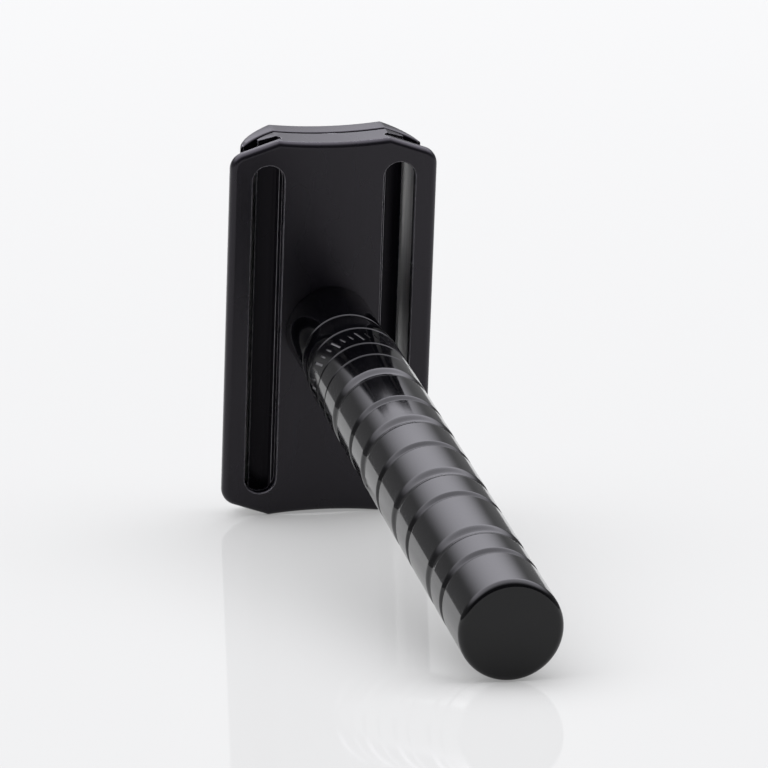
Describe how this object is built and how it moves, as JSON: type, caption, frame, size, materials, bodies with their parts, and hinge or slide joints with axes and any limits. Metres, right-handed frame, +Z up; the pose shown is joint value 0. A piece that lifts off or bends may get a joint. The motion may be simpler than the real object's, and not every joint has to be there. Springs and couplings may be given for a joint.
{
  "type": "safety razor",
  "caption": "Three-piece double-edge safety razor: curved cap, blade, slotted base plate and a ringed screw-on handle, lying on a table.",
  "frame": {"origin": "on the table, under the middle of the object's box", "axes": "+Z up from the table the razor lies on; +Y runs from the handle's tail to the head; +X across the head"},
  "size_m": [0.023, 0.0998, 0.0438],
  "materials": {
    "black_anodised": "satin black anodised, brushed along the head",
    "black_gloss": "glossy black anodised",
    "blade_steel": "ground and honed stainless steel",
    "steel": "turned stainless steel"
  },
  "bodies": {
    "cap_unit": {"top_cap": "black_anodised", "threaded_stud": "steel", "locating_pin_upper": "steel", "locating_pin_lower": "steel"},
    "blade_body": {"blade": "blade_steel"},
    "plate": {"base_plate": "black_anodised"},
    "handle_body": {"handle": "black_gloss", "thread_bush": "steel"}
  },
  "joints": [
    {"name": "plate_slide", "type": "slide", "parent": "cap_unit", "child": "plate", "axis": [0, -0.9838, -0.1792], "range_m": [0, 0.008]},
    {"name": "handle_turn", "type": "hinge", "parent": "plate", "child": "handle_body", "pos_m": [0, 0.03957, 0.02128], "axis": [0, -0.9838, -0.1792], "range_deg": [0, 3600]},
    {"name": "blade_slide", "type": "slide", "parent": "cap_unit", "child": "blade_body", "axis": [0, -0.9838, -0.1792], "range_m": [0, 0.004]}
  ],
  "couplings": [
    {"joint": "handle_turn", "follows": "plate_slide", "rad_per_m": 7854},
    {"joint": "blade_slide", "follows": "plate_slide", "ratio": 0.5}
  ]
}
